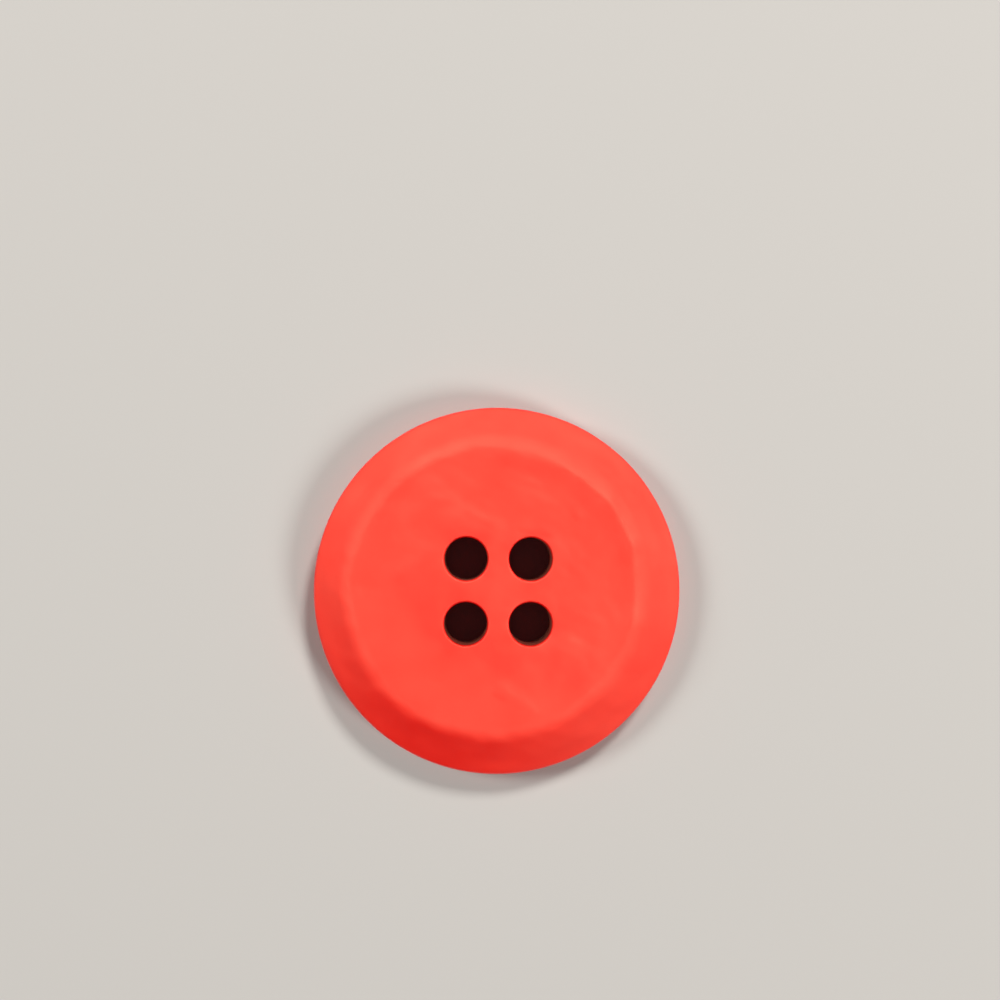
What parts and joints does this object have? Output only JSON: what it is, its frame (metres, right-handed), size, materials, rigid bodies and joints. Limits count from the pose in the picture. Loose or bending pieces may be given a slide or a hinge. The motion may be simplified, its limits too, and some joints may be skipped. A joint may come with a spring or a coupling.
{
  "type": "four-hole sewing button",
  "caption": "Round moulded sewing button with a slightly dished face, a soft crest, a wide bevel and thread holes on a square grid.",
  "frame": {"origin": "centre of the flat back, which lies on z = 0", "axes": "+Z along the button's axis, from the back to the face; X and Y along the sides of the square of thread holes"},
  "size_m": [0.025, 0.025, 0.0032],
  "materials": {
    "button_plastic": "satin"
  },
  "bodies": {
    "root": {"button": "button_plastic"}
  },
  "joints": []
}
